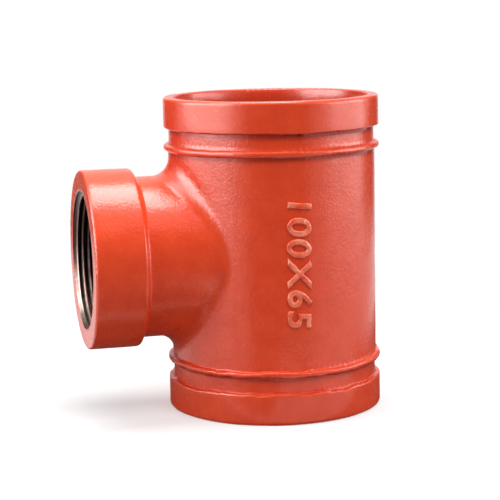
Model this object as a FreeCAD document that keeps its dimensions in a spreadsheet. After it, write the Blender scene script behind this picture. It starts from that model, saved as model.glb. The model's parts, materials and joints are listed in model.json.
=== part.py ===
import FreeCAD, Part
import math
import os

import Sketcher

# Standpipe tee: one cast body with a straight run and a threaded branch.
# Both ends of the run are grooved for pipe couplings.
# Origin where the two axes cross. The run lies along Z, the branch points to -X.
# All lengths in millimetres.

os.makedirs("parts", exist_ok=True)
doc = FreeCAD.newDocument("standpipe_tee")

# Driving sizes. Every other size below is worked out from these.
SIZES = [
    ("lip_radius", 57.15, "outside of the end lips, the size of the pipe"),
    ("lip_wall", 6.0, "wall of the lips, from the waterway to the outside"),
    ("lip_width", 16.0, "end face to the near side of the groove"),
    ("groove_depth", 2.11, "from the lip down to the floor of the coupling groove"),
    ("groove_width", 8.9, "between the lip and the bead"),
    ("barrel_step", 0.04, "how much lower the barrel lies than the groove's floor"),
    ("bead_crest", 0.5, "flat of the bead between its two roundings"),
    ("bead_side", 0.31, "straight flank of the bead"),
    ("bead_rounding", 1.25, "rounding of the bead's crest"),
    ("bead_root_rounding", 0.7, "corner at the foot of the bead"),
    ("bead_clearance", 12.7, "side of the neck to the foot of the bead"),
    ("lip_rounding", 1.6, "outer edge of the end face"),
    ("lip_inner_rounding", 0.8, "inner edge of the end face"),
    ("groove_edge_rounding", 0.5, "edge where the lip drops into the groove"),
    ("groove_root_rounding", 0.7, "corner in the groove's floor beside the lip"),
    ("drill_radius", 33.34, "tapping size of the branch thread"),
    ("sink_depth", 3.26, "countersink at the branch mouth, at 45 degrees"),
    ("thread_depth", 27.0, "branch face to the end of the tapped wall"),
    ("thread_relief", 2.06, "how much wider the cored passage is than the tapped wall"),
    ("neck_wall", 7.0, "wall of the neck around the cored passage"),
    ("neck_length", 20.8, "side of the barrel to the collar's shoulder"),
    ("collar_width", 27.2, "collar's shoulder to the face of the branch"),
    ("collar_face_rounding", 1.4, "outer edge of the branch face"),
    ("shoulder_rounding", 2.2, "outer edge of the collar's shoulder"),
    ("shoulder_flat", 0.2, "flat of the shoulder between its two roundings"),
    ("shoulder_root_rounding", 2.2, "corner between shoulder and neck"),
    ("saddle_rounding", 10.0, "blend where the neck meets the run"),
    ("passage_rounding", 2.5, "edge where the branch opens into the run"),
]

# Sizes that follow from the driving ones, as expressions in the sheet's names
GROOVE_RADIUS = "(sizes.lip_radius - sizes.groove_depth)"
BARREL_RADIUS = f"({GROOVE_RADIUS} - sizes.barrel_step)"
RUN_BORE_RADIUS = "(sizes.lip_radius - sizes.lip_wall)"
BEAD_HEIGHT = "(sizes.bead_root_rounding + sizes.bead_side + sizes.bead_rounding)"
BEAD_RADIUS = f"({GROOVE_RADIUS} + {BEAD_HEIGHT})"
BEAD_WIDTH = "(2 * sizes.bead_rounding + sizes.bead_crest)"
MOUTH_RADIUS = "(sizes.drill_radius + sizes.sink_depth)"
PASSAGE_RADIUS = "(sizes.drill_radius + sizes.thread_relief)"
NECK_RADIUS = f"({PASSAGE_RADIUS} + sizes.neck_wall)"
SHOULDER_HEIGHT = (
    "(sizes.shoulder_rounding + sizes.shoulder_flat + sizes.shoulder_root_rounding)"
)
COLLAR_RADIUS = f"({NECK_RADIUS} + {SHOULDER_HEIGHT})"
BEAD_FOOT = f"({NECK_RADIUS} + sizes.bead_clearance)"
BEAD_TOP = f"({BEAD_FOOT} + {BEAD_WIDTH})"
LIP_BACK = f"({BEAD_TOP} + sizes.groove_width)"
END_FACE = f"({LIP_BACK} + sizes.lip_width)"
SHOULDER = f"({BARREL_RADIUS} + sizes.neck_length)"
BRANCH_FACE = f"({SHOULDER} + sizes.collar_width)"

sheet = doc.addObject("Spreadsheet::Sheet", "sizes")
for row, (alias, value, meaning) in enumerate(SIZES, start=1):
    sheet.set(f"A{row}", alias)
    sheet.set(f"B{row}", str(value))
    sheet.set(f"C{row}", meaning)
    sheet.setAlias(f"B{row}", alias)
doc.recompute()

FULL_TURN = 360.0
ORIGIN = (-1, 1)
ACROSS, UPWARD = -1, -2
START, END, CENTRE = 1, 2, 3
NEARLY_ZERO = 1e-9
SAME_SIZE = 1e-4


def worth(expression):
    """The present value of an expression in the sheet's names."""
    return float(sheet.evalExpression(expression))


def origin_plane(body, role):
    """One of the body's own three origin planes."""
    for feature in body.Origin.OriginFeatures:
        if getattr(feature, "Role", "") == role:
            return feature
    raise RuntimeError("no origin plane " + role)


def new_sketch(body, name, role):
    """An empty sketch lying on an origin plane of the body."""
    sketch = body.newObject("Sketcher::SketchObject", name)
    sketch.AttachmentSupport = [(origin_plane(body, role), "")]
    sketch.MapMode = "FlatFace"
    return sketch


def bind(sketch, index, name, expression):
    """Tie one dimension of a sketch to the sheet."""
    sketch.renameConstraint(index, name)
    sketch.setExpression("Constraints." + name, expression)


def hold(sketch, name, geometry, end, along, expression):
    """Fix how far a point lies from the sketch origin, across or upward."""
    value = worth(expression)
    if abs(value) < NEARLY_ZERO:
        axis = UPWARD if along == "X" else ACROSS
        sketch.addConstraint(Sketcher.Constraint("PointOnObject", geometry, end, axis))
        return
    kind = "Distance" + along
    ends = ORIGIN + (geometry, end)
    formula = expression
    if value < 0:
        ends = (geometry, end) + ORIGIN
        formula = "-(" + expression + ")"
    rule = Sketcher.Constraint(kind, *ends, abs(value))
    bind(sketch, sketch.addConstraint(rule), name, formula)


def stepped_outline(sketch, corners):
    """A closed outline of level and upright lines. A corner is (x, y, rounding or None)."""
    count = len(corners)
    spots = [FreeCAD.Vector(worth(x), worth(y), 0) for x, y, _ in corners]
    radii = [worth(r) if r else 0.0 for _, _, r in corners]
    lines = []
    for i in range(count):
        j = (i + 1) % count
        step = (spots[j] - spots[i]).normalize()
        begin = spots[i] + step * radii[i]
        finish = spots[j] - step * radii[j]
        lines.append(sketch.addGeometry(Part.LineSegment(begin, finish), False))
        level = abs(step.y) < NEARLY_ZERO
        turn = "Horizontal" if level else "Vertical"
        sketch.addConstraint(Sketcher.Constraint(turn, lines[i]))
    for i in range(count):
        before, after = lines[i - 1], lines[i]
        if not radii[i]:
            joint = Sketcher.Constraint("Coincident", before, END, after, START)
            sketch.addConstraint(joint)
            continue
        back = (spots[i - 1] - spots[i]).normalize()
        ahead = (spots[(i + 1) % count] - spots[i]).normalize()
        middle = spots[i] + (back + ahead) * radii[i]
        first = spots[i] + back * radii[i] - middle
        last = spots[i] + ahead * radii[i] - middle
        from_angle = math.atan2(first.y, first.x)
        to_angle = math.atan2(last.y, last.x)
        leftward = back.x * ahead.y - back.y * ahead.x < 0
        near, far = (START, END) if leftward else (END, START)
        if not leftward:
            from_angle, to_angle = to_angle, from_angle
        circle = Part.Circle(middle, FreeCAD.Vector(0, 0, 1), radii[i])
        bend = Part.ArcOfCircle(circle, from_angle, to_angle)
        arc = sketch.addGeometry(bend, False)
        sketch.addConstraint(Sketcher.Constraint("Tangent", before, END, arc, near))
        sketch.addConstraint(Sketcher.Constraint("Tangent", arc, far, after, START))
        rule = sketch.addConstraint(Sketcher.Constraint("Radius", arc, radii[i]))
        bind(sketch, rule, f"rounding_{i}", corners[i][2])
    for i in range(count):
        j = (i + 1) % count
        level = abs(spots[j].y - spots[i].y) < NEARLY_ZERO
        along = "Y" if level else "X"
        expression = corners[i][1] if level else corners[i][0]
        hold(sketch, f"line_{i}", lines[i], START, along, expression)


def pointed_outline(sketch, corners):
    """A closed outline of straight lines. A corner is (x, y), each held on its own."""
    count = len(corners)
    spots = [FreeCAD.Vector(worth(x), worth(y), 0) for x, y in corners]
    lines = []
    for i in range(count):
        side = Part.LineSegment(spots[i], spots[(i + 1) % count])
        lines.append(sketch.addGeometry(side, False))
    for i in range(count):
        joint = Sketcher.Constraint("Coincident", lines[i - 1], END, lines[i], START)
        sketch.addConstraint(joint)
    for i, (x, y) in enumerate(corners):
        hold(sketch, f"across_{i}", lines[i], START, "X", x)
        hold(sketch, f"upward_{i}", lines[i], START, "Y", y)


def turned(body, kind, name, sketch, axis):
    """A full turn of a sketch about one of its own axes, added or cut away."""
    feature = body.newObject("PartDesign::" + kind, name)
    feature.Profile = sketch
    feature.ReferenceAxis = (sketch, [axis])
    feature.Angle = FULL_TURN
    sketch.Visibility = False
    body.Tip = feature
    doc.recompute()
    return feature


def is_wall(face, radius, direction):
    """Is this face a round wall of that radius, with its axis along that direction?"""
    surface = face.Surface
    if not isinstance(surface, Part.Cylinder):
        return False
    parallel = abs(surface.Axis.dot(direction)) > 1 - SAME_SIZE
    return parallel and abs(surface.Radius - radius) < SAME_SIZE


def edges_between(shape, first, second):
    """Names of the edges that have a face of each sort on their two sides."""
    names = []
    for number, edge in enumerate(shape.Edges, start=1):
        faces = shape.ancestorsOfType(edge, Part.Face)
        if len(faces) != 2:
            continue
        one, other = faces
        if (first(one) and second(other)) or (first(other) and second(one)):
            names.append(f"Edge{number}")
    return names


def rounded(body, name, names, radius_alias):
    """Round the named edges of the body as it stands."""
    if not names:
        raise RuntimeError("no edges found for " + name)
    base = body.Tip
    feature = body.newObject("PartDesign::Fillet", name)
    feature.Base = (base, names)
    feature.Radius = worth("sizes." + radius_alias)
    feature.setExpression("Radius", "sizes." + radius_alias)
    body.Tip = feature
    doc.recompute()
    return feature


UP = FreeCAD.Vector(0, 0, 1)
OUT = FreeCAD.Vector(1, 0, 0)

tee = doc.addObject("PartDesign::Body", "tee_casting")
tee.Label = "tee_casting"
tee.Placement = FreeCAD.Placement(FreeCAD.Vector(0, 0, 0), FreeCAD.Rotation())
doc.recompute()

# Upper half of the run: barrel, bead, groove and lip, as one turned outline
run_profile = new_sketch(tee, "run_profile", "XZ_Plane")
stepped_outline(
    run_profile,
    [
        ("0", "0", None),
        (BARREL_RADIUS, "0", None),
        (BARREL_RADIUS, BEAD_FOOT, "sizes.bead_root_rounding"),
        (BEAD_RADIUS, BEAD_FOOT, "sizes.bead_rounding"),
        (BEAD_RADIUS, BEAD_TOP, "sizes.bead_rounding"),
        (GROOVE_RADIUS, BEAD_TOP, "sizes.bead_root_rounding"),
        (GROOVE_RADIUS, LIP_BACK, "sizes.groove_root_rounding"),
        ("sizes.lip_radius", LIP_BACK, "sizes.groove_edge_rounding"),
        ("sizes.lip_radius", END_FACE, "sizes.lip_rounding"),
        ("0", END_FACE, None),
    ],
)
run_upper = turned(tee, "Revolution", "run_upper", run_profile, "V_Axis")

# The lower half of the run is the upper half mirrored
run_lower = tee.newObject("PartDesign::Mirrored", "run_lower")
run_lower.Originals = [run_upper]
run_lower.MirrorPlane = (origin_plane(tee, "XY_Plane"), [""])
tee.Tip = run_lower
doc.recompute()

# Branch: neck and threaded collar, turned about the X axis
branch_profile = new_sketch(tee, "branch_profile", "XZ_Plane")
stepped_outline(
    branch_profile,
    [
        ("0", "0", None),
        ("0", NECK_RADIUS, None),
        ("-" + SHOULDER, NECK_RADIUS, "sizes.shoulder_root_rounding"),
        ("-" + SHOULDER, COLLAR_RADIUS, "sizes.shoulder_rounding"),
        ("-" + BRANCH_FACE, COLLAR_RADIUS, "sizes.collar_face_rounding"),
        ("-" + BRANCH_FACE, "0", None),
    ],
)
branch_boss = turned(tee, "Revolution", "branch_boss", branch_profile, "H_Axis")

# Blend where the neck meets the run
saddle = edges_between(
    branch_boss.Shape,
    lambda f: is_wall(f, worth(BARREL_RADIUS), UP),
    lambda f: is_wall(f, worth(NECK_RADIUS), OUT),
)
saddle_blend = rounded(tee, "saddle_blend", saddle, "saddle_rounding")

# Waterway along the run, right through
run_core = new_sketch(tee, "run_core", "XZ_Plane")
pointed_outline(
    run_core,
    [
        ("0", "-" + END_FACE),
        (RUN_BORE_RADIUS, "-" + END_FACE),
        (RUN_BORE_RADIUS, END_FACE),
        ("0", END_FACE),
    ],
)
solid_volume = saddle_blend.Shape.Volume
run_waterway = turned(tee, "Groove", "run_waterway", run_core, "V_Axis")
bored_volume = run_waterway.Shape.Volume

# Branch waterway: countersunk mouth, tapped wall, then a wider cored passage
branch_core = new_sketch(tee, "branch_core", "XZ_Plane")
sink_foot = f"-({BRANCH_FACE} - sizes.sink_depth)"
thread_end = f"-({BRANCH_FACE} - sizes.thread_depth)"
passage_start = f"-({BRANCH_FACE} - sizes.thread_depth - sizes.thread_relief)"
pointed_outline(
    branch_core,
    [
        ("0", "0"),
        ("0", PASSAGE_RADIUS),
        (passage_start, PASSAGE_RADIUS),
        (thread_end, "sizes.drill_radius"),
        (sink_foot, "sizes.drill_radius"),
        ("-" + BRANCH_FACE, MOUTH_RADIUS),
        ("-" + BRANCH_FACE, "0"),
    ],
)
branch_waterway = turned(tee, "Groove", "branch_waterway", branch_core, "H_Axis")
opened_volume = branch_waterway.Shape.Volume
if not solid_volume > bored_volume > opened_volume:
    raise RuntimeError("a waterway cut nothing away")

# Rounded edge where the branch opens into the run
crossing = edges_between(
    branch_waterway.Shape,
    lambda f: is_wall(f, worth(RUN_BORE_RADIUS), UP),
    lambda f: is_wall(f, worth(PASSAGE_RADIUS), OUT),
)
passage_blend = rounded(tee, "passage_blend", crossing, "passage_rounding")

# Inner edges of the two end faces
rims = edges_between(
    passage_blend.Shape,
    lambda f: is_wall(f, worth(RUN_BORE_RADIUS), UP),
    lambda f: isinstance(f.Surface, Part.Plane),
)
rim_blend = rounded(tee, "rim_blend", rims, "lip_inner_rounding")

# Every object must be sound before anything is written
for thing in doc.Objects:
    if "Invalid" in thing.State or "Error" in thing.State:
        raise RuntimeError("failed: " + thing.Name)
shape = tee.Shape
if shape.isNull() or not shape.isValid() or len(shape.Solids) != 1:
    raise RuntimeError("the casting is not one sound solid")

shape.exportStep("parts/tee_casting.step")
box = shape.optimalBoundingBox()
print("tee_casting: faces", len(shape.Faces), "volume mm3", round(shape.Volume))
print("x", round(box.XMin, 3), round(box.XMax, 3))
print("y", round(box.YMin, 3), round(box.YMax, 3))
print("z", round(box.ZMin, 3), round(box.ZMax, 3))
for sketch in (run_profile, branch_profile, run_core, branch_core):
    print(sketch.Name, "free directions left:", sketch.solve(), sketch.FullyConstrained)
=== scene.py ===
# %% [markdown]
# # A cast standpipe tee
#
# The object is one iron casting: a straight run of pipe with a grooved lip at each end,
# and a shorter branch with a collar and a female pipe thread. It is painted orange-red all over,
# apart from the thread, which was cut after the casting and is bare steel-grey metal.
#
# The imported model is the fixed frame. It is exact and plain, so this script gives it what a foundry
# and a paint shop give the real one: a skin that is a little lumpy, a cut thread, raised figures,
# gloss paint, and a studio to see them in. All lengths are in metres.

# %% Load the frame
import json
import math

import bmesh
import bpy
from mathutils import Matrix, Vector, noise


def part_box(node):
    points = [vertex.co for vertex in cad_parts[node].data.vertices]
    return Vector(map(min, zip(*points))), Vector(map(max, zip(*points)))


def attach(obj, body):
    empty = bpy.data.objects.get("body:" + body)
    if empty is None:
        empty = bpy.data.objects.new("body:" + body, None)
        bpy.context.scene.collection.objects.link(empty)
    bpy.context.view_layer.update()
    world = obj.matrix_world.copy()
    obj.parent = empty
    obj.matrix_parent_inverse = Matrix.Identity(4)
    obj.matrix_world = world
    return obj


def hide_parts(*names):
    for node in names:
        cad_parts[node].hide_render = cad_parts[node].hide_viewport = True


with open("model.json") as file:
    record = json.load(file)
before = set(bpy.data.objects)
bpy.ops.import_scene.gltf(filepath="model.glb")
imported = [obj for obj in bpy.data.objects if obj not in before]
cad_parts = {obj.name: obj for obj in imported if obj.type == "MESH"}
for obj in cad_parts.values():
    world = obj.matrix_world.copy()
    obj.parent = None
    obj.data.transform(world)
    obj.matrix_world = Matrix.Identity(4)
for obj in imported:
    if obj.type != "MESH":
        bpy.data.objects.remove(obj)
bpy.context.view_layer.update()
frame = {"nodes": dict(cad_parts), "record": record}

MM = 0.001
TOUCHING = 0.001 * MM
print("frame holds", sorted(frame["nodes"]))

# %% [markdown]
# ## Sizes
#
# The fitting sizes are read from the record's mounts, so the looks follow the frame.
# What the mounts don't say, such as the groove's floor, is named here once.

# %% Name the sizes
mounts = {mount["name"]: mount for mount in frame["record"]["mounts"]}
lip_radius = mounts["upper_grooved_end"]["dims"]["r_mm"] * MM
waterway_radius = mounts["run_bore"]["dims"]["r_mm"] * MM
tapping_radius = mounts["branch_thread"]["dims"]["r_mm"] * MM
low_corner, high_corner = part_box("tee_casting")
branch_face = low_corner.x
end_face = high_corner.z

barrel_radius = 55.0 * MM
groove_radius = 55.04 * MM
groove_low = 58.1 * MM
groove_high = 67.0 * MM
bead_low = 55.1 * MM
mouth_radius = 36.6 * MM
passage_radius = 35.4 * MM
thread_end = branch_face + 27.0 * MM
passage_start = thread_end + (passage_radius - tapping_radius)
print("run lip radius", lip_radius, "branch face at x", branch_face)

# %% [markdown]
# ## The cast skin
#
# On the real tee the body is one casting, made in a sand mould. Its walls are round, but the sand
# leaves them slightly uneven, and the edges of the coupling grooves wander.
#
# The walls could be modelled again, but the blend where branch and run meet is hard to draw well,
# and the frame already holds it exactly. So the skin starts as a copy of the frame's own mesh.
# That mesh is loose triangles, so its corners are merged first.

# %% Copy the casting
def new_object(name, data):
    """A new object in the scene, made from a mesh, a lamp or a lens."""
    made = bpy.data.objects.new(name, data)
    bpy.context.scene.collection.objects.link(made)
    return made


def new_piece(name, mesh):
    """A mesh becomes a piece that belongs to the tee."""
    piece = new_object(name, mesh)
    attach(piece, "root")
    return piece


def slice_flat(shape, place, normal, tolerance=TOUCHING, clear_outer=False):
    """Put corners wherever a flat cut crosses the shape, and drop its outer part if asked."""
    everything = shape.verts[:] + shape.edges[:] + shape.faces[:]
    bmesh.ops.bisect_plane(
        shape, geom=everything, dist=tolerance,
        plane_co=place, plane_no=normal, clear_outer=clear_outer,
    )


skin = bmesh.new()
skin.from_mesh(frame["nodes"]["tee_casting"].data)
bmesh.ops.remove_doubles(skin, verts=skin.verts, dist=TOUCHING)
print("skin:", len(skin.verts), "corners,", len(skin.faces), "triangles")

# %% [markdown]
# The frame's tapped wall is a plain cylinder at the drill's size. The thread is cut outward from it,
# so that wall steps back here to leave a pocket, and the threaded ring fills the pocket further on.
# Only the rings of corners at the two ends of the wall have to move.

# %% Step the tapped wall back
pocket_radius = 36.5 * MM
paint_lip = mouth_radius - pocket_radius
NEAR = 0.02 * MM


def reach(corner):
    """How far a corner is from the branch's axis."""
    return math.hypot(corner.co.y, corner.co.z)


def set_reach(corner, radius):
    """Move a corner straight out from the branch's axis, or in."""
    share = radius / reach(corner)
    corner.co.y *= share
    corner.co.z *= share


moved = 0
for corner in skin.verts:
    if corner.co.x > passage_start - NEAR or reach(corner) > mouth_radius - NEAR:
        continue
    near_mouth = corner.co.x < (branch_face + thread_end) / 2
    half_way_down = reach(corner) > tapping_radius + NEAR
    lip = paint_lip / 2 if half_way_down else paint_lip
    corner.co.x = branch_face + lip if near_mouth else passage_start - NEAR
    set_reach(corner, mouth_radius - lip if near_mouth else pocket_radius)
    moved += 1
print("pocket for the thread:", moved, "corners moved")

# %% [markdown]
# The frame's grooves have the depth that a coupling needs. The real ones look a little deeper, and
# the lower lip's edge, which the coupling grips, is well rounded. Neither needs new corners: the
# rings on a groove's floor move in, and the rings of the small rounding move away from its middle.

# %% Sink the grooves and round the lower lip
GROOVE_SINKS = 0.55 * MM
LIP_ROUNDING_GROWS = 2.0
small_rounding = 0.5 * MM


def from_run(corner):
    """How far a corner is from the run's axis."""
    return math.hypot(corner.co.x, corner.co.y)


def widen(corner, share):
    """Multiply a corner's distance from the run's axis by a share."""
    corner.co.x *= share
    corner.co.y *= share


rounded = 0
for corner in skin.verts:
    outward = from_run(corner)
    on_the_floor = abs(outward - groove_radius) < NEAR
    if on_the_floor and groove_low - NEAR < abs(corner.co.z) < groove_high + NEAR:
        widen(corner, (groove_radius - GROOVE_SINKS) / outward)
    if corner.co.z > 0:
        continue
    below_edge = lip_radius - outward
    beside_edge = abs(corner.co.z) - groove_high
    if not (-NEAR < below_edge < small_rounding + NEAR and -NEAR < beside_edge < small_rounding + NEAR):
        continue
    widen(corner, (lip_radius - LIP_ROUNDING_GROWS * below_edge) / outward)
    corner.co.z = math.copysign(groove_high + LIP_ROUNDING_GROWS * beside_edge, corner.co.z)
    rounded += 1
print("lip roundings:", rounded, "corners moved")

# %% [markdown]
# The mouths of the run open in a soft flare. The straight bore has no corners near its mouth that
# could move, so flat cuts put a few rings there first. Each ring is then opened by the square of
# how far up the flare it is, so the curve starts without a crease.

# %% Flare the mouths of the run
FLARE_DEPTH = 6.0 * MM
FLARE_OUTWARD = 0.62 * MM
FLARE_RINGS = 4
MOUTH_WALL = 1.0 * MM
for number in range(FLARE_RINGS):
    for way in (-1, 1):
        height = way * (end_face - FLARE_DEPTH + number * FLARE_DEPTH / (FLARE_RINGS + 1))
        slice_flat(skin, (0, 0, height), (0, 0, 1))
flared = 0
for corner in skin.verts:
    outward = from_run(corner)
    up_the_flare = (abs(corner.co.z) - end_face + FLARE_DEPTH) / FLARE_DEPTH
    if up_the_flare > 0 and outward < waterway_radius + MOUTH_WALL:
        widen(corner, 1 + FLARE_OUTWARD * up_the_flare ** 2 / outward)
        flared += 1
print("mouths of the run:", flared, "corners flared")

# %% [markdown]
# The copy has long thin triangles on the straight walls, because a straight wall needs no more.
# A wall that shall be uneven needs corners all along it. Cutting each long edge in half, again and
# again, puts them there. A half-way corner lies on the chord, inside the round wall, so it is moved
# out to the same distance from the axis as the two ends of its edge.

# %% Halve the long edges
LONGEST_EDGE = 3.0 * MM
LONGEST_INSIDE = 8.0 * MM
LONGEST_AT_GROOVE = 1.6 * MM
SAME_RING = 0.01 * MM
groove_zone = (bead_low - 1 * MM, groove_high + 2 * MM)


def half_way(start, end):
    """The middle of an edge, kept on the round wall that the edge lies on."""
    middle = (start + end) / 2
    for first, second in ((0, 1), (1, 2)):
        radius = math.hypot(start[first], start[second])
        other = math.hypot(end[first], end[second])
        inside = math.hypot(middle[first], middle[second])
        if abs(radius - other) < SAME_RING and inside > radius / 2:
            middle[first] *= radius / inside
            middle[second] *= radius / inside
            return middle
    return middle


def longest(edge):
    """How long an edge may be: short where the groove edges wander, long where water runs."""
    if all(from_run(corner) < waterway_radius + NEAR for corner in edge.verts):
        return LONGEST_INSIDE
    if all(groove_zone[0] < -corner.co.z < groove_zone[1] for corner in edge.verts):
        return LONGEST_AT_GROOVE
    return LONGEST_EDGE


def halve_long_edges(shape):
    """One pass: every edge that is too long gets a corner half-way along it."""
    edges = []
    for edge in shape.edges:
        if edge.calc_length() > longest(edge):
            edges.append(edge)
    goals = {}
    for edge in edges:
        start, end = (corner.co.copy() for corner in edge.verts)
        goals[((start + end) / 2).freeze()] = half_way(start, end)
    made = bmesh.ops.subdivide_edges(shape, edges=edges, cuts=1, use_grid_fill=True)
    for corner in made["geom_inner"]:
        if isinstance(corner, bmesh.types.BMVert):
            goal = goals.get(corner.co.copy().freeze())
            if goal is not None:
                corner.co = goal
    return len(edges)


flat_enough = math.radians(1.0)
bmesh.ops.join_triangles(
    skin, faces=skin.faces, angle_face_threshold=flat_enough, angle_shape_threshold=math.pi
)
cut = 1
while cut:
    cut = halve_long_edges(skin)
    print("  halved", cut, "edges")
print("skin now has", len(skin.verts), "corners and", len(skin.faces), "faces")

# %% [markdown]
# Sand moulds leave a wall that swells and sinks by a tenth of a millimetre or so, and the edges of
# the coupling grooves wander more than that, above all at the lower end. Both are slow, smooth
# noise: one moves a corner along the run, the other moves it along its normal. The noise is a
# fixed function of place, so the casting is the same at every run.

# %% Let the groove edges wander
WANDER_LENGTH = 9.0 * MM
WANDER_REACH = 1.3 * MM
LOWER_WANDER = 0.95 * MM
UPPER_WANDER = 0.28 * MM
LOWER_SEED, UPPER_SEED = 11, 17
SHORT_WAVE = WANDER_LENGTH / 2.4
SHORT_WAVE_SHARE = 0.45
SHORT_WAVE_SEED = 30
FADED_OUT = 3 * WANDER_REACH
SEED_SPREAD = (1, 2.7, 0.4)
groove_edges = (bead_low, groove_low, groove_high)


def slow_noise(place, length, seed):
    """Smooth noise from -1 to 1 that changes over about that length."""
    return noise.noise(place / length + Vector([spread * seed for spread in SEED_SPREAD]))


def drift_of(ring, seed):
    """How an edge wanders around the run: one slow wave with a shorter one on it."""
    slow = slow_noise(ring, WANDER_LENGTH, seed)
    return slow + SHORT_WAVE_SHARE * slow_noise(ring, SHORT_WAVE, seed + SHORT_WAVE_SEED)


wandered = 0
for corner in skin.verts:
    height = abs(corner.co.z)
    beside = min(abs(height - edge) for edge in groove_edges)
    if from_run(corner) < groove_radius - GROOVE_SINKS - NEAR or beside > FADED_OUT:
        continue
    lower = corner.co.z < 0
    ring = Vector((corner.co.x, corner.co.y, 0))
    for number, edge in enumerate(groove_edges):
        nearness = math.exp(-((height - edge) / WANDER_REACH) ** 2)
        drift = drift_of(ring, number + (LOWER_SEED if lower else UPPER_SEED))
        corner.co.z += (LOWER_WANDER if lower else UPPER_WANDER) * nearness * drift
    wandered += 1
print("groove edges:", wandered, "corners wander")

# %% [markdown]
# The swellings of the wall are two such waves, a long one and a short one. Each has its length,
# its height and its seed.

# %% Make the walls a little lumpy
LUMPS = ((16 * MM, 0.16 * MM, 3), (5.5 * MM, 0.05 * MM, 7))


def lump_at(place):
    """How far the cast wall stands out at a place."""
    return sum(size * slow_noise(place, length, seed) for length, size, seed in LUMPS)


skin.normal_update()
moves = []
for corner in skin.verts:
    in_pocket = corner.co.x < passage_start + NEAR and reach(corner) < mouth_radius - NEAR
    moves.append(corner.normal * (0.0 if in_pocket else lump_at(corner.co)))
for corner, move in zip(skin.verts, moves):
    corner.co += move
    for axis in range(3):
        corner.co[axis] = min(max(corner.co[axis], low_corner[axis]), high_corner[axis])
print("lumps move the wall by up to", round(max(move.length for move in moves) / MM, 3), "mm")

# %% [markdown]
# A cast edge catches the light along a thin line, and a wall doesn't. So the walls are shaded
# smooth, and only edges that turn by more than a set angle stay sharp. The finished skin stands in
# for the frame's plain casting in the picture, and the frame itself isn't touched.

# %% Make the skin a piece
SHARP = math.radians(35)


def smooth_mesh(shape, name):
    """A bmesh becomes a mesh with smooth shading, apart from its sharp edges."""
    loose = sum(not edge.is_manifold for edge in shape.edges)
    mesh = bpy.data.meshes.new(name)
    shape.to_mesh(mesh)
    shape.free()
    mesh.shade_smooth()
    mesh.set_sharp_from_angle(angle=SHARP)
    mesh.calc_loop_triangles()
    print(name + ":", len(mesh.loop_triangles), "triangles,", loose, "open edges")
    return mesh


casting = new_piece("painted_casting", smooth_mesh(skin, "painted_casting"))
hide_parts("tee_casting")

# %% [markdown]
# ## The thread
#
# A pipe thread is one notch swept round the bore and forward at the same time, and the bore narrows
# by one part in sixteen as it goes in. A spin with a step along its axis sweeps a notch in just that
# way. All turns of a thread are alike, so one turn is swept and then copied along the bore. The notch
# runs from crest to crest, so each turn meets the next, and the doubles between them are merged.

# %% Sweep the notch
PITCH = 25.4 / 8 * MM
THREAD_DEPTH = 0.8 * PITCH
FLAT = 0.038 * PITCH
FLANK_PARTS = 5
STEPS = 144
root_at_face = 36.35 * MM
crest_at_face = root_at_face - THREAD_DEPTH
first_crest = branch_face + 1.9 * MM
TURNS_OUTSIDE = 2.75
SPARE_TURNS = 2
start_crest = first_crest - TURNS_OUTSIDE * PITCH
TURNS = math.ceil((thread_end - start_crest) / PITCH) + SPARE_TURNS

thread = bmesh.new()
flank = [part / FLANK_PARTS for part in range(FLANK_PARTS + 1)]
flank_length = PITCH / 2 - FLAT
notch = [(0.0, crest_at_face)]
notch += [(FLAT / 2 + share * flank_length, crest_at_face + share * THREAD_DEPTH) for share in flank]
notch += [(PITCH - along, height) for along, height in reversed(notch)]
line = [thread.verts.new((start_crest + along, 0, height)) for along, height in notch]
drawn = line + [thread.edges.new(pair) for pair in zip(line, line[1:])]
bmesh.ops.spin(
    thread, geom=drawn, cent=(0, 0, 0), axis=(1, 0, 0), dvec=(PITCH / STEPS, 0, 0),
    angle=math.tau, steps=STEPS, use_merge=False,
)
one_turn = thread.verts[:] + thread.edges[:] + thread.faces[:]
for number in range(1, TURNS):
    copied = bmesh.ops.duplicate(thread, geom=one_turn)["geom"]
    corners = [part for part in copied if isinstance(part, bmesh.types.BMVert)]
    bmesh.ops.translate(thread, verts=corners, vec=(number * PITCH, 0, 0))
bmesh.ops.remove_doubles(thread, verts=thread.verts, dist=TOUCHING)
print("thread:", TURNS, "turns swept,", len(thread.verts), "corners")

# %% [markdown]
# The swept turns run past both ends, so two flat cuts trim them: one just inside the painted face,
# one where the tapped wall ends. Then each corner is drawn in for the taper. The tap can't stand
# further in than the drill left the hole, and at the mouth a countersink takes the first crests off.

# %% Trim and taper it
TAPER = 1 / 32
SLEEVE_CLEARANCE = 0.05 * MM
sleeve_radius = pocket_radius - SLEEVE_CLEARANCE
mouth_plane = branch_face + paint_lip

for place, outward in ((mouth_plane, -1), (thread_end, 1)):
    slice_flat(thread, (place, 0, 0), (outward, 0, 0), tolerance=TOUCHING / 10, clear_outer=True)
for corner in thread.verts:
    inward = corner.co.x - branch_face
    tapered = reach(corner) - inward * TAPER
    set_reach(corner, min(max(tapered, tapping_radius, mouth_radius - inward), sleeve_radius))
print("thread trimmed:", len(thread.verts), "corners left")

# %% [markdown]
# A cut thread is only a surface. Its inner rim is drawn on to the end of the pocket and turned
# outward there, and a plain tube joins it to the outer rim. That makes a closed sleeve, which fills
# the pocket.

# %% Close it into a sleeve
def rim_at(shape, place):
    """The open edges of a shape that lie in the plane x = place."""
    open_edges = [edge for edge in shape.edges if edge.is_boundary]
    return [edge for edge in open_edges if all(abs(v.co.x - place) < NEAR for v in edge.verts)]


def grow_rim(shape, rim, place, radius):
    """Pull an open rim along the branch to a new place and radius."""
    grown = bmesh.ops.extrude_edge_only(shape, edges=rim)["geom"]
    for corner in grown:
        if isinstance(corner, bmesh.types.BMVert):
            corner.co.x = place
            set_reach(corner, radius)


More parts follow.
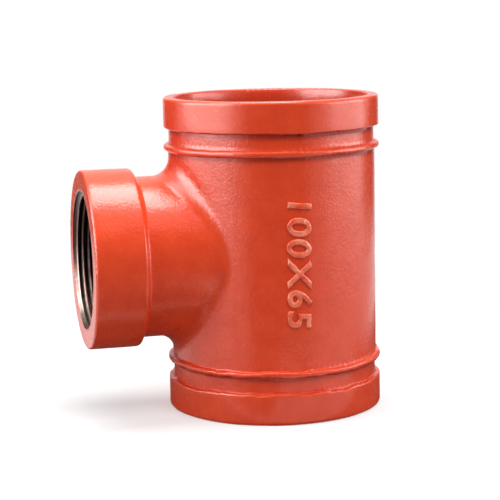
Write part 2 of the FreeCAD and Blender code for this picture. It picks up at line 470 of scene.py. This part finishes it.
grow_rim(thread, rim_at(thread, thread_end), passage_start, passage_radius)
grow_rim(thread, rim_at(thread, passage_start), passage_start, sleeve_radius)
both_rims = [edge for edge in thread.edges if edge.is_boundary]
bmesh.ops.bridge_loops(thread, edges=both_rims)
bmesh.ops.recalc_face_normals(thread, faces=thread.faces)
branch_thread = new_piece("branch_thread", smooth_mesh(thread, "branch_thread"))

# %% [markdown]
# ## The raised figures
#
# Such tees carry their nominal pipe sizes as raised figures, cast along the run. Here they are plain
# figures in millimetres, for the run and for the branch. Text is the quickest way to good figures:
# it is set flat with rounded strokes, made a mesh, sliced so that it can bend, and only then laid
# on the barrel. The strokes are sized in text units, where a line of text is one unit high.

# %% Set the figures flat
FIGURE_HEIGHT = 12.7 * MM
FIGURES_LENGTH = 65.0 * MM
FIGURES_PROUD = 1.3 * MM
FIGURES_SUNK = 0.4 * MM
LETTER_SPACING = 1.1
STROKE_RELIEF = 0.012
STROKE_BEVEL = 0.062
STROKE_THINNING = -0.036
SLANT = 0.08
SAME_CORNER = 0.0001

words = bpy.data.curves.new("raised_figures", "FONT")
words.body = "100X65"
words.size = 1.0
words.resolution_u = 6
words.align_x = "CENTER"
words.align_y = "CENTER"
words.space_character = LETTER_SPACING
words.extrude = STROKE_RELIEF
words.bevel_depth = STROKE_BEVEL
words.bevel_resolution = 4
words.offset = STROKE_THINNING
words.shear = SLANT
text_object = bpy.data.objects.new("raised_figures", words)
flat_figures = bpy.data.meshes.new_from_object(text_object)
bpy.data.objects.remove(text_object)

figures = bmesh.new()
figures.from_mesh(flat_figures)
bpy.data.meshes.remove(flat_figures)
bmesh.ops.remove_doubles(figures, verts=figures.verts, dist=SAME_CORNER)
spans = [[corner.co[axis] for corner in figures.verts] for axis in range(3)]
lows = [min(span) for span in spans]
highs = [max(span) for span in spans]
print("text as set:", [round(high - low, 3) for low, high in zip(lows, highs)])

# %% [markdown]
# A flat figure has corners only along its outline, so it can't bend. Flat cuts along and across it
# give it corners everywhere. Each corner's height on the figure then becomes an angle round the
# barrel. A little noise leaves the strokes as uneven as the sand does.

# %% Slice and bend them round the barrel
SLICE = 0.9 * MM
FIGURES_ANGLE = math.radians(-90.5)
FIGURES_MIDDLE = 0.0
FIGURES_LEAN = math.radians(0.8)
FIGURES_ROUGH = 0.45 * MM
FIGURES_GRAIN = 2.4 * MM
FIGURES_SEEDS = (41, 53)
figure_sizes = (FIGURES_LENGTH, FIGURE_HEIGHT, FIGURES_PROUD + FIGURES_SUNK)

for corner in figures.verts:
    for axis in range(3):
        share = (corner.co[axis] - lows[axis]) / (highs[axis] - lows[axis]) - 0.5
        corner.co[axis] = share * figure_sizes[axis]
for axis, length in ((0, FIGURES_LENGTH), (1, FIGURE_HEIGHT)):
    for number in range(1, math.ceil(length / SLICE)):
        place = [0, 0, 0]
        place[axis] = number * SLICE - length / 2
        normal = [0, 0, 0]
        normal[axis] = 1
        slice_flat(figures, place, normal)
figures_low = barrel_radius + (FIGURES_PROUD - FIGURES_SUNK) / 2
for corner in figures.verts:
    along, up_the_figure, outward = corner.co
    angle = FIGURES_ANGLE + up_the_figure / barrel_radius - FIGURES_LEAN * along / FIGURES_LENGTH
    around, above = (FIGURES_ROUGH * slow_noise(corner.co, FIGURES_GRAIN, seed) for seed in FIGURES_SEEDS)
    angle += around / barrel_radius
    radius = figures_low + outward + above
    corner.co = Vector((radius * math.cos(angle), radius * math.sin(angle), FIGURES_MIDDLE - along))
    corner.co += Vector((math.cos(angle), math.sin(angle), 0)) * lump_at(corner.co)
raised_figures = new_piece("raised_figures", smooth_mesh(figures, "raised_figures"))

# %% [markdown]
# ## Gloss paint
#
# The paint is one thick orange-red coat over a sand-cast surface. It is glossy, it fills the finest
# grain, and it still shows pits and a slight orange peel where a light is reflected in it.

# %% Node helpers
def shader(name):
    """A new node material, and the parts of it that every finish here uses."""
    material = bpy.data.materials.new(name)
    material.use_nodes = True
    tree = material.node_tree
    place = tree.nodes.new("ShaderNodeTexCoord").outputs["Object"]
    return material, tree, tree.nodes["Principled BSDF"], place


def grain(tree, place, size, detail=2.0, roughness=0.5):
    """Noise whose grains are about that size."""
    node = tree.nodes.new("ShaderNodeTexNoise")
    node.inputs["Scale"].default_value = 1 / size
    node.inputs["Detail"].default_value = detail
    node.inputs["Roughness"].default_value = roughness
    tree.links.new(place, node.inputs["Vector"])
    return node.outputs["Fac"]


def ramp(tree, value, *stops):
    """A colour ramp with stops of (position, colour)."""
    node = tree.nodes.new("ShaderNodeValToRGB")
    band = node.color_ramp
    while len(band.elements) < len(stops):
        band.elements.new(0.5)
    for element, (position, colour) in zip(band.elements, stops):
        element.position = position
        element.color = (*colour, 1)
    tree.links.new(value, node.inputs["Fac"])
    return node.outputs["Color"]


def grey(value):
    """A neutral colour."""
    return (value, value, value)


def patchy_roughness(tree, bsdf, place, size, least, most):
    """A gloss that varies in patches of about that size."""
    patches = grain(tree, place, size)
    tree.links.new(ramp(tree, patches, (0.3, grey(least)), (0.7, grey(most))), bsdf.inputs["Roughness"])


def bumps(tree, bsdf, *layers, strength=None):
    """Stack bump layers of (height, depth) under a shader's normal."""
    normal = None
    for height, depth in layers:
        node = tree.nodes.new("ShaderNodeBump")
        node.inputs["Distance"].default_value = depth
        tree.links.new(height, node.inputs["Height"])
        if strength is not None:
            tree.links.new(strength, node.inputs["Strength"])
        if normal is not None:
            tree.links.new(normal, node.inputs["Normal"])
        normal = node.outputs["Normal"]
    tree.links.new(normal, bsdf.inputs["Normal"])


# %% [markdown]
# Some places are coloured or grained differently from the rest, mostly as painted shade, so the
# shader has to know where it is. A share from nought to one says how much of the other colour a
# place gets. It comes from a distance or a height, and two shares multiplied hold only where both do.

# %% Shares by place
def distance_share(tree, place, axes, nought_at, one_at):
    """A share that goes from nought to one between two distances from an axis."""
    across = tree.nodes.new("ShaderNodeVectorMath")
    across.operation = "MULTIPLY"
    across.inputs[1].default_value = axes
    tree.links.new(place, across.inputs[0])
    distance = tree.nodes.new("ShaderNodeVectorMath")
    distance.operation = "LENGTH"
    tree.links.new(across.outputs["Vector"], distance.inputs[0])
    share = tree.nodes.new("ShaderNodeMapRange")
    share.inputs["From Min"].default_value = nought_at
    share.inputs["From Max"].default_value = one_at
    tree.links.new(distance.outputs["Value"], share.inputs["Value"])
    return share.outputs["Result"]


def share_by_height(tree, place, reach, *stops):
    """A share that follows (height, share) stops, for heights from -reach to reach."""
    parts = tree.nodes.new("ShaderNodeSeparateXYZ")
    tree.links.new(place, parts.inputs[0])
    height = tree.nodes.new("ShaderNodeMapRange")
    height.inputs["From Min"].default_value = -reach
    height.inputs["From Max"].default_value = reach
    tree.links.new(parts.outputs["Z"], height.inputs["Value"])
    places = [((z + reach) / (2 * reach), grey(share)) for z, share in stops]
    return ramp(tree, height.outputs["Result"], *places)


def times(tree, first, second):
    """The product of two shares."""
    node = tree.nodes.new("ShaderNodeMath")
    node.operation = "MULTIPLY"
    tree.links.new(first, node.inputs[0])
    tree.links.new(second, node.inputs[1])
    return node.outputs[0]


def mix_colours(tree, share, first, second):
    """The first colour where share is nought, and the second, a plain one, where it is one."""
    node = tree.nodes.new("ShaderNodeMixRGB")
    node.inputs["Color2"].default_value = (*second, 1)
    tree.links.new(share, node.inputs["Fac"])
    tree.links.new(first, node.inputs["Color1"])
    return node.outputs["Color"]


# %% [markdown]
# Under the lips and beads the coat is painted darker. This is painted shade where the real lips and
# beads cast their shadow. Inside the run's bore the coat is painted a darker red, also as painted shade.
# The shader finds these places by their height and by their distance from the run's axis. That keeps
# the painted shade soft, and it needs no drawing. The lips are dressed after casting, so they are
# smoother than the rest. Each stop below is a height and a share, and each pair of distances says
# where a share starts and where it is whole.

# %% Mix the paint
PAINT = (0.73, 0.063, 0.017)
PAINT_DEEP = (0.68, 0.053, 0.014)
# Painted shade: the dark colour laid in bands under the lips and beads.
PAINTED_SHADE = (0.26, 0.010, 0.006)
# Painted shade: the darker red of the run's inside.
INSIDE_SHADE_PAINT = (0.56, 0.045, 0.013)
UPRIGHT = (1, 1, 0)
UNDER_LOWER_BEAD = ((-61.0 * MM, 0.0), (-58.9 * MM, 0.6), (-57.5 * MM, 0.75), (-56.5 * MM, 0.0))
UNDER_UPPER_BEAD = ((51.6 * MM, 0.0), (54.0 * MM, 0.6), (56.5 * MM, 0.75), (57.5 * MM, 0.0))
UNDER_UPPER_LIP = ((63.0 * MM, 0.0), (65.6 * MM, 0.65), (67.5 * MM, 0.8))
SHADE_BAND_STOPS = UNDER_LOWER_BEAD + UNDER_UPPER_BEAD + UNDER_UPPER_LIP
LIPS_SMOOTHER = ((-70.0 * MM, 0.45), (-66.0 * MM, 1.0), (64.0 * MM, 1.0), (68.0 * MM, 0.35))
BELOW_LIPS = (55.7 * MM, 55.3 * MM)
OUTER_WALL = (52.6 * MM, 53.2 * MM)
WATER_SIDE = (52.6 * MM, 52.2 * MM)
TINT_SIZE, SHEEN_SIZE = 9 * MM, 2.5 * MM
PEEL_SIZE, PEEL_DEPTH = 2.6 * MM, 0.085 * MM
SAND_SIZE, SAND_DEPTH = 1.1 * MM, 0.11 * MM
PITS_SIZE, PITS_DEPTH = 1.6 * MM, 0.015 * MM
PAINT_IOR = 1.49

gloss_paint, tree, bsdf, place = shader("gloss_paint")
tint = grain(tree, place, TINT_SIZE, detail=3)
coat = ramp(tree, tint, (0.35, PAINT_DEEP), (0.65, PAINT))
shade_bands = share_by_height(tree, place, end_face, *SHADE_BAND_STOPS)
below_lips = distance_share(tree, place, UPRIGHT, *BELOW_LIPS)
outer_wall = distance_share(tree, place, UPRIGHT, *OUTER_WALL)
# Painted shade: the bands under the lips and beads darken the coat.
coat = mix_colours(tree, times(tree, times(tree, shade_bands, below_lips), outer_wall), coat, PAINTED_SHADE)
# Painted shade: the inside of the run's bore is coloured darker.
inside_shade = distance_share(tree, place, UPRIGHT, *WATER_SIDE)
coat = mix_colours(tree, inside_shade, coat, INSIDE_SHADE_PAINT)
tree.links.new(coat, bsdf.inputs["Base Color"])
patchy_roughness(tree, bsdf, place, SHEEN_SIZE, 0.21, 0.28)
bsdf.inputs["IOR"].default_value = PAINT_IOR
peel = grain(tree, place, PEEL_SIZE, detail=1)
sand = grain(tree, place, SAND_SIZE, detail=1)
pits = ramp(tree, grain(tree, place, PITS_SIZE, detail=1), (0.24, grey(0)), (0.42, grey(1)))
skin_strength = share_by_height(tree, place, end_face, *LIPS_SMOOTHER)
layers = (peel, PEEL_DEPTH), (sand, SAND_DEPTH), (pits, PITS_DEPTH)
bumps(tree, bsdf, *layers, strength=skin_strength)
print(gloss_paint.name, "has", len(tree.nodes), "shader nodes")

# %% [markdown]
# The figures' paint is the same gloss coat, only paler. It is a painted highlight on the proud strokes.

# %% Paint a highlight on the figures
# Painted highlight: the paler colour of the raised figures.
FIGURE_HIGHLIGHT_PAINT = (0.88, 0.25, 0.14)

# The figures' material is the gloss coat with its colour raised as a painted highlight.
highlit_paint = gloss_paint.copy()
highlit_paint.name = "highlit_paint"
highlight_ramp = highlit_paint.node_tree.nodes["Color Ramp"].color_ramp
highlight_ramp.elements[0].color = (*PAINT, 1)
highlight_ramp.elements[1].color = (*FIGURE_HIGHLIGHT_PAINT, 1)
print(highlit_paint.name, "goes from", PAINT, "to", FIGURE_HIGHLIGHT_PAINT)

# %% [markdown]
# The thread was cut after the casting, so it is bare metal with random stains. Its roots are painted
# near black as painted shade, and the distance from the branch's axis tells them from the crests. The
# upper half is painted darker as painted shade, and near the bottom the roots' painted shade is lighter.

# %% Grind the bare metal
CREST_STEEL = (0.60, 0.49, 0.43)
STAINED_STEEL = (0.38, 0.26, 0.22)
# Painted shade: darker steel towards the top, and near-black thread roots that are lighter near the
# bottom.
UPPER_SHADE_STEEL = (0.17, 0.095, 0.085)
ROOT_SHADE = (0.032, 0.015, 0.013)
UPPER_SHADE_STOPS = ((-24 * MM, 0.0), (8 * MM, 0.8))
ROOT_SHADE_STOPS = ((-30 * MM, 0.6), (-6 * MM, 1.0))
CREST_REACH = 34.2 * MM
ROOT_REACH = 35.2 * MM
BRANCHWISE = (0, 1, 1)
STAIN_SIZE, WEAR_SIZE = 5 * MM, 1.2 * MM
CHATTER_SIZE, CHATTER_DEPTH = 0.5 * MM, 0.015 * MM

bare_steel, tree, bsdf, place = shader("bare_steel")
bsdf.inputs["Metallic"].default_value = 1.0
stain = grain(tree, place, STAIN_SIZE, detail=3)
steel = ramp(tree, stain, (0.35, STAINED_STEEL), (0.65, CREST_STEEL))
# Painted shade: the upper half of the thread is coloured darker.
steel = mix_colours(tree, share_by_height(tree, place, mouth_radius, *UPPER_SHADE_STOPS), steel, UPPER_SHADE_STEEL)
# Painted shade: the thread roots are coloured near black, less so near the bottom.
root_shade = distance_share(tree, place, BRANCHWISE, CREST_REACH, ROOT_REACH)
root_shade = times(tree, root_shade, share_by_height(tree, place, mouth_radius, *ROOT_SHADE_STOPS))
tree.links.new(mix_colours(tree, root_shade, steel, ROOT_SHADE), bsdf.inputs["Base Color"])
patchy_roughness(tree, bsdf, place, WEAR_SIZE, 0.30, 0.40)
chatter = grain(tree, place, CHATTER_SIZE)
bumps(tree, bsdf, (chatter, CHATTER_DEPTH))
print(bare_steel.name, "has", len(tree.nodes), "shader nodes")

# %% [markdown]
# Each piece has one finish, so no face has to be picked out by hand.

# %% Paint the pieces
for piece, finish in ((casting, gloss_paint), (raised_figures, highlit_paint), (branch_thread, bare_steel)):
    piece.data.materials.clear()
    piece.data.materials.append(finish)
    print(piece.name, "is finished in", finish.name)

# %% [markdown]
# ## Floor and lights
#
# The tee stands on a wide pale disc, which lies at the height of its lower end face.

# %% Lay the floor
FLOOR_RADIUS = 6.0
floor_shape = bmesh.new()
bmesh.ops.create_circle(floor_shape, cap_ends=True, radius=FLOOR_RADIUS, segments=96)
for corner in floor_shape.verts:
    corner.co.z = low_corner.z
floor_mesh = bpy.data.meshes.new("floor")
floor_shape.to_mesh(floor_mesh)
floor_shape.free()
floor = new_object("floor", floor_mesh)
print("the floor lies at z", round(low_corner.z, 4))

# %% [markdown]
# A floor that is lit only near the tee would turn grey further off. So for the lens, and for what is
# mirrored, part of its brightness is a glow of its own, and a few hand's breadths away it is plain
# white like the backdrop. The tee still casts its shadow on it. For the light that it throws back
# up at the tee the floor is only a grey card.

# %% Paint the floor
FLOOR_GREY = 0.30
NEAR_GREY = 0.8
SHADOW_SHARE = 0.6
FADE_START, FADE_END = 0.13, 0.36


def seen(tree):
    """One for rays from the lens, mirrored rays and rays through glass, else nought."""
    path = tree.nodes.new("ShaderNodeLightPath")
    total = path.outputs["Is Camera Ray"]
    for name in ("Is Glossy Ray", "Is Transmission Ray"):
        adding = tree.nodes.new("ShaderNodeMath")
        adding.use_clamp = True
        tree.links.new(total, adding.inputs[0])
        tree.links.new(path.outputs[name], adding.inputs[1])
        total = adding.outputs[0]
    return total


def blend_shaders(tree, share, first, second):
    """The first shader where share is nought, the second where it is one."""
    node = tree.nodes.new("ShaderNodeMixShader")
    for socket, source in zip(node.inputs, (share, first, second)):
        tree.links.new(source, socket)
    return node.outputs[0]


pale, tree, bsdf, place = shader("pale_floor")
bsdf.inputs["Base Color"].default_value = (*grey(FLOOR_GREY), 1)
bsdf.inputs["Roughness"].default_value = 0.9
bsdf.inputs["Specular IOR Level"].default_value = 0
near = tree.nodes.new("ShaderNodeBsdfDiffuse")
near.inputs["Color"].default_value = (*grey(NEAR_GREY), 1)
glow = tree.nodes.new("ShaderNodeEmission")
near_floor = tree.nodes.new("ShaderNodeMixShader")
near_floor.inputs["Fac"].default_value = 1 - SHADOW_SHARE
tree.links.new(near.outputs[0], near_floor.inputs[1])
tree.links.new(glow.outputs[0], near_floor.inputs[2])
away = tree.nodes.new("ShaderNodeVectorMath")
away.operation = "LENGTH"
tree.links.new(place, away.inputs[0])
fade = tree.nodes.new("ShaderNodeMapRange")
fade.interpolation_type = "SMOOTHSTEP"
fade.inputs["From Min"].default_value = FADE_START
fade.inputs["From Max"].default_value = FADE_END
tree.links.new(away.outputs["Value"], fade.inputs["Value"])
seen_floor = blend_shaders(tree, fade.outputs["Result"], near_floor.outputs[0], glow.outputs[0])
whole_floor = blend_shaders(tree, seen(tree), bsdf.outputs[0], seen_floor)
tree.links.new(whole_floor, tree.nodes["Material Output"].inputs["Surface"])
floor.data.materials.append(pale)
print("the floor is plain white from", FADE_END, "m outward")

# %% [markdown]
# Gloss paint shows its lights as bright patches, so a lamp's size and place matter as much as its
# brightness. One broad box hangs overhead with a dimmer wing beside it, a box stands at each side,
# and a soft fill lights the front from high up. Three panels are there only to be mirrored, like a
# photographer's reflectors. They draw the bright bands on the saddle and inside the upper lip.
# Each lamp has a name, a place, what it faces, which way its width runs, its width and height, and
# its radiance.

# %% Hang the lights
def facing(place, target, sideways):
    """A matrix that stands at place, looks at target, and has that direction as its width."""
    outward = (place - target).normalized()
    upward = outward.cross(Vector(sideways)).normalized()
    width = upward.cross(outward)
    turned = Matrix((width, upward, outward)).transposed().to_4x4()
    return Matrix.Translation(place) @ turned


def lamp(name, place, target, sideways, width, height, radiance):
    """A rectangular lamp of even brightness. A radiance of 1 looks white."""
    light = bpy.data.lights.new(name, "AREA")
    light.shape = "RECTANGLE"
    light.size = width
    light.size_y = height
    light.energy = radiance * math.pi * width * height
    box = new_object(name, light)
    box.matrix_world = facing(Vector(place), Vector(target), sideways)
    box.visible_camera = False
    return box


ALONG, DEEP = (1, 0, 0), (0, 1, 0)
lamp("overhead_softbox", (0.05, 0.10, 0.88), (0.05, 0.10, 0), ALONG, 0.38, 0.56, 11.8)
lamp("overhead_wing", (-0.37, 0.10, 0.88), (-0.37, 0.10, 0), ALONG, 0.46, 0.56, 4.8)
lamp("right_softbox", (0.593, -0.181, 0.20), (0, 0, 0.20), DEEP, 0.62, 0.56, 1.5)
lamp("left_softbox", (-0.617, -0.065, 0.20), (0, 0, 0.20), DEEP, 0.62, 0.56, 2.2)
glints = [
    lamp("left_top_glint", (-0.60, -0.063, 0.62), (0, 0, 0), DEEP, 0.54, 0.30, 5.6),
    lamp("left_glint", (-0.61, -0.065, 0.26), (0, -0.065, 0.26), DEEP, 0.76, 0.40, 8.8),
    lamp("right_glint", (0.585, -0.24, 0.175), (0, -0.24, 0.175), DEEP, 0.66, 0.25, 4.8),
]
for glint in glints:
    glint.visible_diffuse = False
fill = lamp("front_fill", (0.24, -0.78, 1.15), (0, 0, 0), ALONG, 0.57, 0.57, 9.4)
fill.visible_glossy = False

# %% [markdown]
# A white room mirrored in gloss paint washes the colour out. Black cards in front, behind and on
# the floor give the paint something dark to mirror. The lens can't see them, and they cast no
# shadow. The two lying cards start as standing ones, a metre square, and are then laid flat and
# given their size.

# %% Stand the black cards
def black_card(name, place, width, height):
    """A card that stands on the floor and faces the tee, seen only in what the tee mirrors."""
    shape = bmesh.new()
    bmesh.ops.create_grid(shape, x_segments=1, y_segments=1, size=0.5)
    mesh = bpy.data.meshes.new(name)
    shape.to_mesh(mesh)
    shape.free()
    mesh.materials.append(black)
    card = new_object(name, mesh)
    stand = Vector((*place, low_corner.z + height / 2))
    across = (stand.y, -stand.x, 0)
    size = Matrix.Diagonal((width, height, 1, 1))
    card.matrix_world = facing(stand, Vector((0, 0, stand.z)), across) @ size
    card.visible_camera = False
    card.visible_diffuse = False
    card.visible_shadow = False
    card.visible_transmission = False
    return card


black, tree, bsdf, place = shader("black_card")
bsdf.inputs["Base Color"].default_value = (*grey(0.01), 1)
bsdf.inputs["Roughness"].default_value = 0.9
black_card("front_card", (-0.03, -0.20), 0.24, 0.42)
CARD_ABOVE_FLOOR = 0.5 * MM
OFF_THE_MIDDLE = (0, 0.001)
LYING_CARDS = (
    ("fore_card", (-0.065, -0.14), (0.08, 0.14)),
    ("under_card", (0.0425, 0.095), (0.315, 0.31)),
)
for name, place, size in LYING_CARDS:
    lying = black_card(name, OFF_THE_MIDDLE, 1, 1)
    lifted = Matrix.Translation((*place, low_corner.z + CARD_ABOVE_FLOOR))
    lying.matrix_world = lifted @ Matrix.Diagonal((*size, 1, 1))
black_card("rear_left_card", (-0.32, 0.50), 0.42, 0.45)
black_card("rear_right_card", (0.57, 0.36), 0.42, 0.45)

# %% [markdown]
# The backdrop is plain white for the lens and for mirrored rays. As a light it is dimmer, so the
# lamps still model the shape.

# %% Fill with a plain world
SKY_STRENGTH = 0.36
world = bpy.data.worlds.new("studio")
bpy.context.scene.world = world
world.use_nodes = True
sky = world.node_tree.nodes["Background"]
sky.inputs["Color"].default_value = (1, 1, 1, 1)
sky.inputs["Strength"].default_value = SKY_STRENGTH
white = world.node_tree.nodes.new("ShaderNodeBackground")
white.inputs["Color"].default_value = (1, 1, 1, 1)
backdrop = blend_shaders(world.node_tree, seen(world.node_tree), sky.outputs[0], white.outputs[0])
world.node_tree.links.new(backdrop, world.node_tree.nodes["World Output"].inputs["Surface"])
print("the sky gives light at a strength of", SKY_STRENGTH)

# %% [markdown]
# ## Camera
#
# A long lens stands a little left of the middle and a little above it. Its place and turn were
# fitted to the outlines in the picture.

# %% Place the camera
yaw, pitch, roll = math.radians(-13.8176), math.radians(9.1838), math.radians(-1.0817)
camera_place = Vector((-0.2190654, -0.8395066, 0.1399014))
FOCAL_PIXELS = 1630.0917
PICTURE_WIDTH = 500
SENSOR_WIDTH = 36
back = Vector((math.sin(yaw) * math.cos(pitch), -math.cos(yaw) * math.cos(pitch), math.sin(pitch)))
level = Vector((math.cos(yaw), math.sin(yaw), 0))
above = back.cross(level)
side = level * math.cos(roll) + above * math.sin(roll)
top = above * math.cos(roll) - level * math.sin(roll)
lens = bpy.data.cameras.new("product_camera")
lens.sensor_width = SENSOR_WIDTH
lens.lens = FOCAL_PIXELS / PICTURE_WIDTH * SENSOR_WIDTH
camera = new_object("product_camera", lens)
turn = Matrix((side, top, back)).transposed().to_4x4()
camera.matrix_world = Matrix.Translation(camera_place) @ turn
bpy.context.scene.camera = camera
bpy.context.scene.view_settings.view_transform = "Standard"
print("lens", round(lens.lens, 2), "mm")
